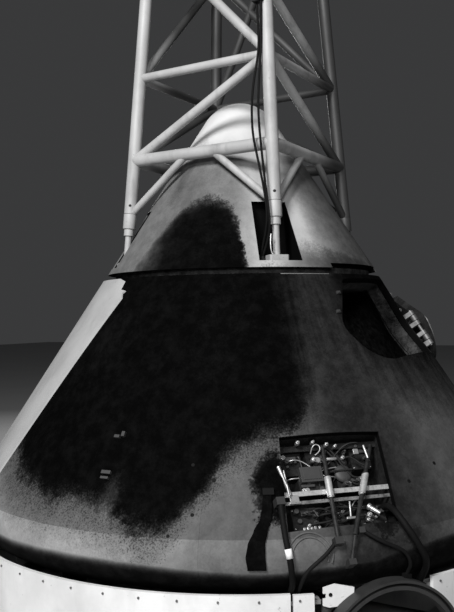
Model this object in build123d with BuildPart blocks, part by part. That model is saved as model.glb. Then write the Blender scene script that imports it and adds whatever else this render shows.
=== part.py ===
from build123d import *
import os
from math import sin, cos, tan, radians, degrees, sqrt, atan2, hypot, acos, pi

# A conical crew capsule after a fire. It sits on its white carrier ring and carries
# the lattice tower of its escape system. Millimetres, +Z up, origin on the floor
# under the capsule's axis. Azimuth 0 faces -Y (the side hatch) and grows towards +X.

os.makedirs("parts", exist_ok=True)

# ---- driving dimensions -------------------------------------------------------
HALF_ANGLE = 33.0          # side wall against the axis
R_MAX = 1956.0             # widest plane
Z_MAX = 820.0              # height of the widest plane over the floor
R_TORUS = 196.0            # rounded shoulder of the aft heat shield
R_DISH = 4694.0            # spherical underside
SHIELD_T = 60.0
WALL_T = 45.0              # heat shield and outer wall of the cone
LIP_PROUD = 6.0            # forward cone stands this far proud of the crew cone
Z_SEAM_LO = 2328.0         # top edge of the crew cone
Z_SEAM_HI = 2368.0         # lower lip of the forward cone
Z_TOP = 3646.0             # crown of the forward cone
CABIN_GAP = 60.0           # between outer wall and pressure cabin
CABIN_T = 25.0
Z_CABIN_FLOOR = 1120.0
Z_CABIN_TOP = 2250.0
Z_SPLIT = 1700.0           # joint between the lower and upper wall panels
SEAM = 0.4                 # gap between neighbouring panels

# carrier ring
RING_H = 655.0
RING_T = 25.0
ARCH_AZ = -37.5            # umbilical arch, under the equipment bay
ARCH_R = 446.0
ARCH_Z = 234.0
ARCH_GAP = (-49.0, -29.5)  # azimuths where the ring wall stops for the arch

# side hatch, drawn on the plane that touches the cone at azimuth 0
HATCH_Z = 2075.0
HATCH_TAPER = 4.0
HATCH_GAP = 12.0
HINGE_X = 700.0            # hinge line, parallel to the middle generatrix
HINGE_DEPTH = -100.0
HATCH_OPEN = 200.0         # rest pose, folded right back along the cone

# equipment bay, its cover missing
BAY_AZ = -43.3
BAY_Z = 1170.0
BAY_DEPTH = 285.0

# tower
LEG_AZ = (-45.0, 45.0, 135.0, -135.0)
LEG_R0 = 838.0             # leg centre circle at Z_FOOT
LEG_SLOPE = -0.088
Z_FOOT = 2700.0            # lower ends of the legs
Z_R1 = 3194.0
Z_R2 = 3798.0
Z_R3 = 4850.0
Z_R4 = 5700.0
LEG_D = 89.0
TUBE_D = 64.0
WELL_Z = (2411.0, 2819.0)
WELL_W = (290.0, 236.0)
WELL_BACK = 640.0

T = tan(radians(HALF_ANGLE))
CA, SA = cos(radians(HALF_ANGLE)), sin(radians(HALF_ANGLE))
R_TC = R_MAX - R_TORUS
Z_DISH_C = Z_MAX + sqrt((R_DISH - R_TORUS) ** 2 - R_TC ** 2)
R_SH = R_TC + R_TORUS * CA
Z_SH = Z_MAX + R_TORUS * SA
Z_APEX = Z_SH + R_SH / T


def rc(z, off=0.0):
    """Radius of the side wall at height z, offset outward by off."""
    return (Z_APEX - z) * T + off / CA


def pol(r, az, z=0.0):
    a = radians(az)
    return (r * sin(a), -r * cos(a), z)


def wall_plane(az, z, off=0.0):
    """Plane that touches the side wall: x along the wall to larger azimuth, y up the slope."""
    a = radians(az)
    n = (sin(a) * CA, -cos(a) * CA, SA)
    o = Vector(*pol(rc(z), az, z)) + Vector(*n) * off
    return Plane(origin=o, x_dir=(cos(a), sin(a), 0), z_dir=n)


def radial_plane(az, r, z=0.0):
    """Upright plane facing outward at an azimuth: x to larger azimuth, y up."""
    a = radians(az)
    return Plane(origin=pol(r, az, z), x_dir=(cos(a), sin(a), 0), z_dir=(sin(a), -cos(a), 0))


def save(bp, name):
    bp.part.label = name
    export_step(bp.part, "parts/" + name + ".step")


def tube(p, q, d, mode=Mode.ADD):
    """Round bar from p to q in the current part."""
    p, q = Vector(*p), Vector(*q)
    v = q - p
    with BuildSketch(Plane(origin=p, z_dir=v.normalized())) as sk:
        Circle(d / 2)
    extrude(sk.sketch, amount=v.length, mode=mode)


def frustum(z0, z1, off, mode=Mode.ADD):
    """Solid under the side wall offset by off, between two heights."""
    with BuildSketch(Plane.XZ) as sk:
        Polygon((0, z0), (rc(z0, off), z0), (rc(z1, off), z1), (0, z1), align=None)
    revolve(sk.sketch, axis=Axis.Z, mode=mode)


# ---- aft heat shield ----------------------------------------------------------
TH1 = atan2(Z_MAX - Z_DISH_C, R_TC)   # direction of the dish and torus tangent


def dish_pt(th, t):
    return ((R_DISH - t) * cos(th), Z_DISH_C + (R_DISH - t) * sin(th))


def torus_pt(th, t):
    return (R_TC + (R_TORUS - t) * cos(th), Z_MAX + (R_TORUS - t) * sin(th))


TH0 = radians(-90)
TH2 = radians(HALF_ANGLE)
with BuildPart() as aft_heat_shield:
    with BuildSketch(Plane.XZ):
        with BuildLine():
            ThreePointArc(dish_pt(TH0, 0), dish_pt((TH0 + TH1) / 2, 0), dish_pt(TH1, 0))
            ThreePointArc(torus_pt(TH1, 0), torus_pt((TH1 + TH2) / 2, 0), torus_pt(TH2, 0))
            Line(torus_pt(TH2, 0), torus_pt(TH2, SHIELD_T))
            ThreePointArc(torus_pt(TH2, SHIELD_T), torus_pt((TH1 + TH2) / 2, SHIELD_T), torus_pt(TH1, SHIELD_T))
            ThreePointArc(dish_pt(TH1, SHIELD_T), dish_pt((TH0 + TH1) / 2, SHIELD_T), dish_pt(TH0, SHIELD_T))
            Line(dish_pt(TH0, SHIELD_T), dish_pt(TH0, 0))
        make_face()
    revolve(axis=Axis.Z)


def swept(pts, az0, az1, mode=Mode.ADD):
    """Polygon of (r, z) points turned about the axis between two azimuths, in the current part."""
    s = radians(az0 - 90.0)
    with BuildSketch(Plane(origin=(0, 0, 0), x_dir=(cos(s), sin(s), 0), z_dir=(sin(s), -cos(s), 0))) as sk:
        Polygon(*pts, align=None)
    revolve(sk.sketch, axis=Axis.Z, revolution_arc=az1 - az0, mode=mode)


def shield_band(point, a, b, az0, az1):
    """Segment of the heat shield between two directions of its profile and two azimuths."""
    s = radians(az0 - 90.0)
    m = (a + b) / 2
    with BuildSketch(Plane(origin=(0, 0, 0), x_dir=(cos(s), sin(s), 0), z_dir=(sin(s), -cos(s), 0))) as sk:
        with BuildLine() as ln:
            ThreePointArc(point(a, 0), point(m, 0), point(b, 0))
            Line(point(b, 0), point(b, SHIELD_T))
            ThreePointArc(point(b, SHIELD_T), point(m, SHIELD_T), point(a, SHIELD_T))
            Line(point(a, SHIELD_T), point(a, 0))
        make_face(ln.edges())
    revolve(sk.sketch, axis=Axis.Z, revolution_arc=az1 - az0)


# the shield's own segments: middle dish, ring round it, rounded shoulder
R_CENTRE = 880.0
TH_C = -acos(R_CENTRE / R_DISH)
G = SEAM / R_DISH
with BuildPart() as shield_segments:
    shield_band(dish_pt, TH0, TH_C - G / 2, 0, 360)
    for i in range(8):
        shield_band(dish_pt, TH_C + G / 2, TH1 - G / 2, 45 * i + 0.02, 45 * i + 44.98)
    for i in range(16):
        shield_band(torus_pt, TH1 + 0.001, TH2, 22.5 * i + 0.01, 22.5 * i + 22.49)
save(shield_segments, "aft_heat_shield")

# ---- carrier ring -------------------------------------------------------------


def sector(r0, r1, az0, az1, z0, z1, mode=Mode.ADD):
    """Ring sector between two azimuths, z0 to z1, in the current part."""
    s = (az0 - 90.0)
    with BuildSketch(Plane(origin=(0, 0, 0), x_dir=(cos(radians(s)), sin(radians(s)), 0),
                           z_dir=(sin(radians(s)), -cos(radians(s)), 0))) as sk:
        Polygon((r0, z0), (r1, z0), (r1, z1), (r0, z1), align=None)
    revolve(sk.sketch, axis=Axis.Z, revolution_arc=az1 - az0, mode=mode)


def arch_block(r, r0, depth, mode=Mode.ADD):
    """Arch of radius r over straight legs, from radius r0 outward by depth."""
    with BuildSketch(radial_plane(ARCH_AZ, r0)) as sk:
        with BuildLine() as ln:
            Line((-r, 0), (-r, ARCH_Z))
            ThreePointArc((-r, ARCH_Z), (0, ARCH_Z + r), (r, ARCH_Z))
            Line((r, ARCH_Z), (r, 0))
            Line((r, 0), (-r, 0))
        make_face(ln.edges())
    extrude(sk.sketch, amount=depth, mode=mode)


# wall panels: (from azimuth, to azimuth, top height)
RING_PANELS = ((-29.5, 15.2, RING_H), (15.5, 60.2, RING_H), (60.5, 105.2, RING_H),
               (105.5, 150.2, RING_H), (150.5, 195.2, RING_H), (195.5, 240.2, RING_H),
               (240.5, 306.2, RING_H), (306.6, 309.8, RING_H - 6))
with BuildPart() as ring_panels:
    for a0, a1, top in RING_PANELS:
        sector(R_MAX - RING_T, R_MAX, a0, a1, 0, top)
    arch_block(ARCH_R + 2, 1700.0, 400.0, Mode.SUBTRACT)
save(ring_panels, "ring_panels")

# frames inside the wall: (name, inner radius, low z, high z)
RING_FRAMES = (("ring_bottom_flange", 1840.0, 0.0, 28.0), ("ring_middle_frame", 1865.0, 330.0, 352.0),
               ("ring_top_frame", 1871.0, 590.0, 612.0))
BASE_PCR = 1886.0
BASE_BOLT_AZ = (-67.5, -7.5, 52.5, 112.5, 172.5, 232.5)
for name, ri, z0, z1 in RING_FRAMES:
    with BuildPart() as frame:
        sector(ri, R_MAX - RING_T, ARCH_GAP[1], ARCH_GAP[0] + 360, z0, z1)
        if z0 == 0:
            with Locations(*[pol(BASE_PCR, a, 0) for a in BASE_BOLT_AZ]):
                Cylinder(12, 120, mode=Mode.SUBTRACT)
        arch_block(ARCH_R + 2, 1700.0, 400.0, Mode.SUBTRACT)
    save(frame, name)

BEAM_AZ = (0, 60, 120, 180, 240, 300)
PAD_R = 1330.0
with BuildPart() as ring_beams:
    with BuildSketch(Plane.XY.offset(60)):
        Circle(210)
    extrude(amount=200)
    for a in BEAM_AZ:
        with BuildSketch(radial_plane(a, 190.0)):
            with Locations((0, 175)):
                Rectangle(60, 150)
        extrude(amount=R_MAX - RING_T - 190.0 - 92)
save(ring_beams, "ring_beams")

Z_PAD = Z_DISH_C - sqrt(R_DISH ** 2 - PAD_R ** 2)
with BuildPart() as support_pads:
    for a in BEAM_AZ:
        with BuildSketch(Plane(origin=pol(PAD_R, a, 250))):
            Circle(80)
        extrude(amount=Z_PAD - 250 + 30)
    add(aft_heat_shield.part, mode=Mode.SUBTRACT)
save(support_pads, "support_pads")


with BuildPart() as umbilical_arch:
    arch_block(ARCH_R, 1905.0, 80.0)
    arch_block(ARCH_R - 14, 1945.0, 80.0, Mode.SUBTRACT)
    arch_block(ARCH_R - 30, 1940.0, 42.0)
    arch_block(ARCH_R - 50, 1800.0, 300.0, Mode.SUBTRACT)
save(umbilical_arch, "umbilical_arch")

# dark web behind the arch, and the small notched plate beside it
with BuildPart() as arch_web:
    sector(1905.0, 1913.0, ARCH_GAP[0] + 0.3, ARCH_GAP[1] - 0.3, 2, 606.0)
    arch_block(ARCH_R + 2, 1700.0, 400.0, Mode.SUBTRACT)
save(arch_web, "arch_web")
with BuildPart() as notched_plate:
    with BuildSketch(radial_plane(-46.1, 1917.0, 566.0)):
        Polygon((-86, 12), (-52, 0), (80, 4), (86, 92), (-20, 118), (-84, 104), align=None)
        with Locations((-86, 60)):
            Rectangle(34, 26, mode=Mode.SUBTRACT)
    extrude(amount=10)
    arch_block(ARCH_R + 1, 1700.0, 400.0, Mode.SUBTRACT)
save(notched_plate, "notched_plate")

# ---- crew cone ------------------------------------------------------------------
HATCH = wall_plane(0.0, HATCH_Z)
# half outline of the hatch opening: (x, y up the slope, corner radius)
HATCH_TOP = ((-385.0, 308.0, 60.0), (0.0, 272.0, 0.0))
HATCH_SIDE = ((-640.0, 0.0, 150.0), (-560.0, -330.0, 270.0))


def hatch_face(grow=0.0):
    """Hatch opening, grown by grow, as a face on the hatch plane's own axes."""
    (tx, ty, _), (_, my, _) = HATCH_TOP
    (lx, ly, lr), (bx, by, br) = HATCH_SIDE
    with BuildSketch(Plane.XY) as sk:
        with BuildLine() as ln:
            ThreePointArc((tx, ty), (0, my), (-tx, ty))
            Polyline((-tx, ty), (-lx, ly), (-bx, by), (bx, by), (lx, ly), (tx, ty))
        make_face(ln.edges())
        for x, y, r in (HATCH_TOP[0], HATCH_SIDE[0], HATCH_SIDE[1]):
            vs = [v for v in sk.vertices() if abs(abs(v.X) - abs(x)) < 0.5 and abs(v.Y - y) < 0.5]
            fillet(vs, r)
        if grow:
            offset(amount=grow, kind=Kind.INTERSECTION, mode=Mode.REPLACE)
    return sk.sketch


def hatch_prism(grow, plane, d0, depth, mode=Mode.ADD, taper=HATCH_TAPER):
    """Tapered block through the hatch opening: from d0 above the plane, depth inward."""
    f = hatch_face(grow)
    p = Plane(origin=plane.from_local_coords((0, 0, d0)), x_dir=plane.x_dir, z_dir=plane.z_dir)
    extrude(p * f, amount=-depth, taper=taper, mode=mode)


BAY = wall_plane(BAY_AZ, BAY_Z)
# opening of the equipment bay on its own plane: (x, y)
BAY_OPEN = ((-290.0, 285.0), (312.0, 285.0), (285.0, -238.0), (-346.0, -238.0))


def bay_block(grow, d0, d1, mode=Mode.ADD):
    """Block through the bay opening between depths d0 and d1 under the wall's surface."""
    cx = sum(p[0] for p in BAY_OPEN) / 4
    cy = sum(p[1] for p in BAY_OPEN) / 4
    pts = [(x + (grow if x > cx else -grow), y + (grow if y > cy else -grow)) for x, y in BAY_OPEN]
    p = Plane(origin=BAY.from_local_coords((0, 0, -d0)), x_dir=BAY.x_dir, z_dir=BAY.z_dir)
    with BuildSketch(p) as sk:
        Polygon(*pts, align=None)
    extrude(sk.sketch, amount=-(d1 - d0), mode=mode)


def wall_band(z0, z1):
    """Section of the outer wall between two heights, its ends square to the slope."""
    top = (rc(z1) - WALL_T / CA, z1) if z1 == Z_SEAM_LO else (rc(z1) - WALL_T * CA, z1 - WALL_T * SA)
    return ((rc(z0), z0), (rc(z1), z1), top, (rc(z0) - WALL_T * CA, z0 - WALL_T * SA))


LOWER = wall_band(Z_SH, Z_SPLIT - SEAM / 2)
UPPER = wall_band(Z_SPLIT + SEAM / 2, Z_SEAM_LO)
AG = 0.01                  # half of a seam, in degrees
# plain panels: (band, first azimuth, number of 22.5 degree panels)
with BuildPart() as crew_cone:
    for band, first, count in ((LOWER, -22.5, 14), (UPPER, 45.0, 12)):
        for i in range(count):
            swept(band, first + 22.5 * i + AG, first + 22.5 * (i + 1) - AG)
save(crew_cone, "crew_cone")
with BuildPart() as bay_surround:
    for a0, a1 in ((-67.5, -52.0), (-52.0, -34.0), (-34.0, -22.5)):
        swept(LOWER, a0 + AG, a1 - AG)
    bay_block(0, -60, 150, Mode.SUBTRACT)
save(bay_surround, "bay_surround")
with BuildPart() as hatch_surround:
    for a0, a1 in ((-45.0, -20.0), (-20.0, 20.0), (20.0, 45.0)):
        swept(UPPER, a0 + AG, a1 - AG)
    hatch_prism(0, HATCH, 60, 420, Mode.SUBTRACT)
save(hatch_surround, "hatch_surround")

# pressure cabin: outer profile (r, z), then the same moved in by its wall
CABIN = ((0, Z_CABIN_FLOOR), (1265, Z_CABIN_FLOOR), (1300, Z_CABIN_FLOOR + 45), (1450, 1425),
         (rc(2250, -WALL_T - CABIN_GAP), Z_CABIN_TOP), (0, Z_CABIN_TOP))
t = CABIN_T
CABIN_IN = ((0, Z_CABIN_FLOOR + t), (1255, Z_CABIN_FLOOR + t), (1277, Z_CABIN_FLOOR + 57), (1420, 1429),
            (rc(2250 - t, -WALL_T - CABIN_GAP - t), Z_CABIN_TOP - t), (0, Z_CABIN_TOP - t))
R_ROOF = rc(2250, -WALL_T - CABIN_GAP)


def cabin_r(z, inner=False):
    """Radius of the cabin's sloping upper wall, outside or inside."""
    if inner:
        return 1420 + (CABIN_IN[4][0] - 1420) * (z - 1429) / (CABIN_IN[4][1] - 1429)
    return 1450 + (R_ROOF - 1450) * (z - 1425) / (Z_CABIN_TOP - 1425)


def cabin_band(z1):
    return ((1450, 1425 + SEAM / 2), (cabin_r(z1), z1), (cabin_r(z1, True), z1), (1420, 1429 + SEAM / 2))


Z_ROOF = Z_CABIN_TOP - t
with BuildPart() as cabin_floor_roof:
    swept(((0, Z_CABIN_FLOOR), (1265, Z_CABIN_FLOOR), (1255, Z_CABIN_FLOOR + t), (0, Z_CABIN_FLOOR + t)), 0, 360)
    swept(((0, Z_ROOF + SEAM), (cabin_r(Z_ROOF + SEAM), Z_ROOF + SEAM), (R_ROOF, Z_CABIN_TOP), (0, Z_CABIN_TOP)), 0, 360)
    hatch_prism(22, HATCH, 60, 620, Mode.SUBTRACT, taper=0)
save(cabin_floor_roof, "cabin_floor_roof")
CABIN_FOOT = ((1265 + SEAM, Z_CABIN_FLOOR), (1300, Z_CABIN_FLOOR + 45), (1450, 1425 - SEAM / 2), (1420, 1429 - SEAM / 2),
              (1277, Z_CABIN_FLOOR + 57), (1255 + SEAM, Z_CABIN_FLOOR + t))
with BuildPart() as cabin_wall:
    for i in range(16):
        swept(CABIN_FOOT, 22.5 * i + AG, 22.5 * (i + 1) - AG)
    for i in range(12):
        swept(cabin_band(Z_ROOF), 45 + 22.5 * i + AG, 45 + 22.5 * (i + 1) - AG)
save(cabin_wall, "cabin_wall")
with BuildPart() as cabin_hatch_wall:
    for a0, a1, z1 in ((-45.0, -20.0, Z_ROOF), (-20.0, 20.0, 1790.0), (20.0, 45.0, Z_ROOF)):
        swept(cabin_band(z1), a0 + AG, a1 - AG)
    hatch_prism(22, HATCH, 60, 620, Mode.SUBTRACT, taper=0)
save(cabin_hatch_wall, "cabin_hatch_wall")

# the hatchway between outer wall and cabin
with BuildPart() as hatch_frame:
    hatch_prism(22, HATCH, 60, 420, taper=0)
    frustum(1400, 2350, -WALL_T, Mode.INTERSECT)
    frustum(1400, 2400, -WALL_T - CABIN_GAP - CABIN_T, Mode.SUBTRACT)
    hatch_prism(2, HATCH, 60, 560, Mode.SUBTRACT, taper=0)
save(hatch_frame, "hatch_frame")
# ---- forward cone -----------------------------------------------------------------
Z_APEX_F = Z_APEX + LIP_PROUD / SA
R_DOME = (Z_APEX_F - Z_TOP) * SA / (1 - SA)
Z_DOME = Z_TOP - R_DOME


def well_block(az, grow=0.0, mode=Mode.ADD):
    """Upright pocket that a tower foot stands in."""
    with BuildSketch(radial_plane(az, 1100.0)) as sk:
        Polygon((-WELL_W[0] / 2 - grow, WELL_Z[0]), (WELL_W[0] / 2 + grow, WELL_Z[0]),
                (WELL_W[1] / 2 + grow, WELL_Z[1]), (-WELL_W[1] / 2 - grow, WELL_Z[1]), align=None)
    extrude(sk.sketch, amount=-(1100.0 - WELL_BACK), mode=mode)


with BuildPart() as forward_cone:
    with BuildSketch(Plane.XZ):
        with BuildLine():
            Polyline((0, Z_TOP), (0, Z_SEAM_HI), (rc(Z_SEAM_HI, LIP_PROUD), Z_SEAM_HI),
                     (R_DOME * CA, Z_DOME + R_DOME * SA))
            ThreePointArc((R_DOME * CA, Z_DOME + R_DOME * SA),
                          (R_DOME * cos(radians(61.5)), Z_DOME + R_DOME * sin(radians(61.5))), (0, Z_TOP))
        make_face()
    revolve(axis=Axis.Z)
    for a in LEG_AZ:
        well_block(a, mode=Mode.SUBTRACT)
    sector(rc(Z_SEAM_HI) - 70, 1200, -24, 24, Z_SEAM_HI - 5, Z_SEAM_HI + 30, Mode.SUBTRACT)
save(forward_cone, "forward_cone")

# structure in the dark gap between the two cones
with BuildPart() as forward_deck:
    sector(690, rc(Z_SEAM_LO) - WALL_T / CA - 22, 0, 360, Z_CABIN_TOP, Z_SEAM_HI)
    hatch_prism(30, HATCH, 60, 620, Mode.SUBTRACT, taper=0)
save(forward_deck, "forward_deck")

# ---- raised cover panels on the two far quarters ----------------------------------
COVER_T = 10.0
COVER_W = 1200.0
COVER_Z = 1690.0
# outline on its own plane, torn at the top of the edge beside the bay: (x, y)
COVER = ((-600, -780), (600, -780), (600, 690), (572, 716), (585, 742), (520, 735), (500, 800), (-600, 830))
for side, name in ((-1, "left_cover_panel"), (1, "right_cover_panel")):
    with BuildPart() as cover:
        with BuildSketch(Plane.XZ):
            Polygon((rc(1010, 0.3), 1010), (rc(1010, COVER_T), 1010),
                    (rc(Z_SEAM_LO - 4, COVER_T), Z_SEAM_LO - 4), (rc(Z_SEAM_LO - 4, 0.3), Z_SEAM_LO - 4), align=None)
        revolve(axis=Axis.Z)
        pl = wall_plane(side * 138.3, COVER_Z)
        with BuildSketch(Plane(origin=pl.from_local_coords((0, 0, 90)), x_dir=pl.x_dir, z_dir=pl.z_dir)):
            Polygon(*[(-side * x, y) for x, y in COVER], align=None)
        extrude(amount=-700, mode=Mode.INTERSECT)
    save(cover, name)

# ---- inside the cabin --------------------------------------------------------------
# couch side profile in YZ: (y, z), head towards the hatch
COUCH = ((-860, 1330), (-860, 1378), (-640, 1352), (60, 1352), (300, 1560), (560, 1500), (600, 1300),
         (560, 1290), (520, 1470), (310, 1508), (90, 1300), (-640, 1300))
COUCH_W = 540.0
COUCH_X = (-610.0, 0.0, 610.0)
with BuildPart() as crew_couches:
    for x in COUCH_X:
        with BuildSketch(Plane(origin=(x - COUCH_W / 2, 0, 0), x_dir=(0, 1, 0), z_dir=(1, 0, 0))):
            Polygon(*COUCH, align=None)
        extrude(amount=COUCH_W)
save(crew_couches, "crew_couches")
# couch struts: (x, y) of each foot
with BuildPart() as couch_struts:
    for x in COUCH_X:
        for y in (-560, 0):
            with BuildSketch(Plane.XY.offset(Z_CABIN_FLOOR + CABIN_T)):
                with Locations((x, y)):
                    Circle(22)
            extrude(amount=1300 - Z_CABIN_FLOOR - CABIN_T)
save(couch_struts, "couch_struts")
with BuildPart() as instrument_panel:
    with BuildSketch(Plane(origin=(0, 250, 1960), x_dir=(1, 0, 0), z_dir=(0, sin(radians(28)), cos(radians(28))))):
        RectangleRounded(1400, 560, 60)
    extrude(amount=-80)
save(instrument_panel, "instrument_panel")
with BuildPart() as equipment_lockers:
    with BuildSketch(Plane.XY.offset(Z_CABIN_FLOOR + CABIN_T)):
        with Locations((0, 1040)):
            Rectangle(1500, 480)
    extrude(amount=560)
    with BuildSketch(Plane.XZ) as lk:
        Polygon(*[(max(r - 3, 0), z) for r, z in CABIN_IN], align=None)
    revolve(axis=Axis.Z, mode=Mode.INTERSECT)
save(equipment_lockers, "equipment_lockers")

# ---- equipment bay -------------------------------------------------------------------
with BuildPart() as bay_liner:
    bay_block(8, 0, BAY_DEPTH)
    bay_block(0, -5, BAY_DEPTH - 8, Mode.SUBTRACT)
    frustum(500, 1600, -WALL_T, Mode.INTERSECT)
    add(aft_heat_shield.part, mode=Mode.SUBTRACT)
save(bay_liner, "bay_liner")


def in_bay(x, y, d):
    """Point in the bay: x along, y up the slope, d under the wall's surface."""
    return BAY.from_local_coords((x, y, -d))


# boxes in the bay: (x, y, width, height, front depth, back depth)
BAY_UNITS = ((-205, 180, 130, 150, 150, 277), (-60, 190, 110, 130, 140, 277), (75, 185, 120, 150, 160, 277),
             (215, 190, 120, 150, 145, 277), (-190, -140, 150, 120, 150, 277), (0, -150, 130, 110, 170, 277),
             (190, -160, 150, 110, 125, 277), (-120, 30, 150, 90, 120, 277), (120, 25, 170, 80, 130, 277))
with BuildPart() as bay_units:
    for x, y, w, h, d0, d1 in BAY_UNITS:
        p = Plane(origin=in_bay(x, y, d0), x_dir=BAY.x_dir, z_dir=BAY.z_dir)
        with BuildSketch(p):
            RectangleRounded(w, h, 12)
        extrude(amount=-(d1 - d0))
save(bay_units, "bay_units")


def bay_slab(pts, d0, d1, mode=Mode.ADD):
    """Polygon on the bay's own plane, between two depths under the wall's surface."""
    with BuildSketch(Plane(origin=in_bay(0, 0, d0), x_dir=BAY.x_dir, z_dir=BAY.z_dir)) as sk:
        Polygon(*pts, align=None)
    extrude(sk.sketch, amount=-(d1 - d0), mode=mode)


# flat rails across the bay: (left y, right y, width, front depth, back depth)
RAILS = ((-30, -27, 26, 60, 68), (-76, -74, 18, 66, 74), (246, 246, 34, 108, 120))
with BuildPart() as bay_rails:
    for y0, y1, w, d0, d1 in RAILS:
        bay_slab(((-360, y0 - w / 2), (330, y1 - w / 2), (330, y1 + w / 2), (-360, y0 + w / 2)), d0, d1)
    bay_block(0, 0, BAY_DEPTH - 8, Mode.INTERSECT)
save(bay_rails, "bay_rails")

# lugs on the wall under the bay: (x, y, width, height, top over the wall's plane, bottom)
LUGS = ((-109, -322, 44, 36, 46, -40), (-45, -424, 40, 30, 4, -100), (34, -277, 34, 30, 34, -30), (-369, -85, 46, 40, 26, -70))
with BuildPart() as bay_lugs:
    for x, y, w, h, d0, d1 in LUGS:
        bay_slab(((x - w / 2, y - h / 2), (x + w / 2, y - h / 2), (x + w / 2, y + h / 2), (x - w / 2, y + h / 2)), -d0, -d1)
    frustum(900, 1600, 0, Mode.SUBTRACT)
    add(aft_heat_shield.part, mode=Mode.SUBTRACT)
save(bay_lugs, "bay_lugs")

# cover struts, loose at the top rail and swung out over the lower edge: points, diameters of bar
STRUTS = (((-15, 250, -106), (-109, -316, 34)), ((278, 236, -106), (-21, -307, 50), (-45, -414, -8)))
SLEEVE = (51.0, -73.0)     # y where each strut's sleeve starts and ends
with BuildPart() as bay_struts:
    for pts in STRUTS:
        q = [in_bay(x, y, -d) for x, y, d in pts]
        tube(q[0], q[1], 24)
        for a, b in zip(q[1:], q[2:]):
            tube(a, b, 18)
        (x0, y0, d0), (x1, y1, d1) = pts[:2]
        e = [in_bay(x0 + (x1 - x0) * u, y0 + (y1 - y0) * u, -(d0 + (d1 - d0) * u))
             for u in ((y0 - SLEEVE[0]) / (y0 - y1), (y0 - SLEEVE[1]) / (y0 - y1))]
        tube(e[0], e[1], 38)
    add(bay_rails.part, mode=Mode.SUBTRACT)
    add(bay_lugs.part, mode=Mode.SUBTRACT)
save(bay_struts, "bay_struts")

# ---- glands, loose lines and the hanging strap -------------------------------------------


def arch_back(x0, x1, z0, z1):
    """Block on the back of the umbilical arch, from x0 to x1 beside its middle."""
    with BuildSketch(radial_plane(ARCH_AZ, 1905.0)) as sk:
        Polygon((x0, z0), (x1, z0), (x1, z1), (x0, z1), align=None)
    extrude(sk.sketch, amount=-45)


with BuildPart() as line_glands:
    sector(1876, 1926, -54.15, -52.85, 612, 640)
    sector(1876, 1926, -52.72, -51.88, 612, 640)
    arch_back(194, 246, 575, 612)
    with BuildSketch(radial_plane(ARCH_AZ, 1912.0)):
        with Locations((111, 665)):
            Rectangle(40, 50)
    extrude(amount=32)
    add(umbilical_arch.part, mode=Mode.SUBTRACT)
    swept(((rc(1131), 1131), (rc(1131, 18), 1131), (rc(1160, 18), 1160), (rc(1160), 1160)), -57.4, -55.5)
save(line_glands, "line_glands")


def cord(points, d, cutters, name):
    """Round line along straight runs and arcs as large as the runs allow."""
    pts = [Vector(*q) for q in points]
    radii = []
    for a, b, c in zip(pts, pts[1:], pts[2:]):
        turn = (b - a).get_angle(c - b)
        radii.append(0.45 * min((b - a).length, (c - b).length) / tan(radians(turn) / 2))
    with BuildPart() as c:
        with BuildLine() as ln:
            FilletPolyline(*pts, radius=radii)
        with BuildSketch(Plane(origin=pts[0], z_dir=(pts[1] - pts[0]).normalized())):
            Circle(d / 2)
        sweep()
        for k in cutters:
            add(k, mode=Mode.SUBTRACT)
    length = sum(e.length for e in ln.edges())
    print(name, "length", round(length), "least radius in diameters", round(min(radii) / d, 1),
          "volume ratio", round(c.part.volume / (pi * d * d / 4 * length), 3), "solids", len(c.part.solids()))
    save(c, name)


def bay_line(pts):
    return [tuple(in_bay(x, y, -d)) for x, y, d in pts]


# routes: points on the bay's plane (x, y, height over the plane), then (radius, azimuth, height)
CABLE_TAPED = bay_line(((-369, -101, 8), (-371, -165, 4), (-374, -222, 1), (-377, -289, 2), (-371, -351, -10),
                        (-364, -404, -36), (-357, -444, -70))) + [pol(1950, -53.4, 702), pol(1913, -53.5, 664), pol(1897, -53.5, 634)]
HOSE_THIN = bay_line(((-122, -326, 16), (-168, -369, -1), (-222, -402, -24), (-268, -429, -52))) + [
    pol(1968, -51.8, 744), pol(1946, -52.15, 702), pol(1913, -52.3, 662), pol(1897, -52.3, 634)]
HOSE_RIGHT = bay_line(((45, -280, 20), (88, -318, 24), (157, -354, 14))) + [
    pol(1983, -36.6, 848), pol(1985, -35.4, 818), pol(1982, -34.7, 778), pol(1968, -34.3, 740), pol(1946, -34.2, 712), pol(1931, -34.2, 684)]
CABLE_BUNDLE = bay_line(((246, -130, -129), (246, -132, -70), (247, -157, -9), (252, -207, 33), (267, -268, 52),
                         (296, -325, 46), (330, -376, 22), (366, -418, -16), (397, -446, -66))) + [
    pol(1958, -31.1, 707), pol(1920, -30.8, 660), pol(1884, -30.8, 606)]
cord(CABLE_TAPED, 32.0, (line_glands.part, bay_lugs.part), "cable_taped")
cord(HOSE_THIN, 20.0, (line_glands.part, bay_lugs.part), "hose_thin")
cord(HOSE_RIGHT, 20.0, (line_glands.part, bay_lugs.part), "hose_right")
cord(CABLE_BUNDLE, 36.0, (line_glands.part, bay_units.part, umbilical_arch.part), "cable_bundle")

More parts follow.
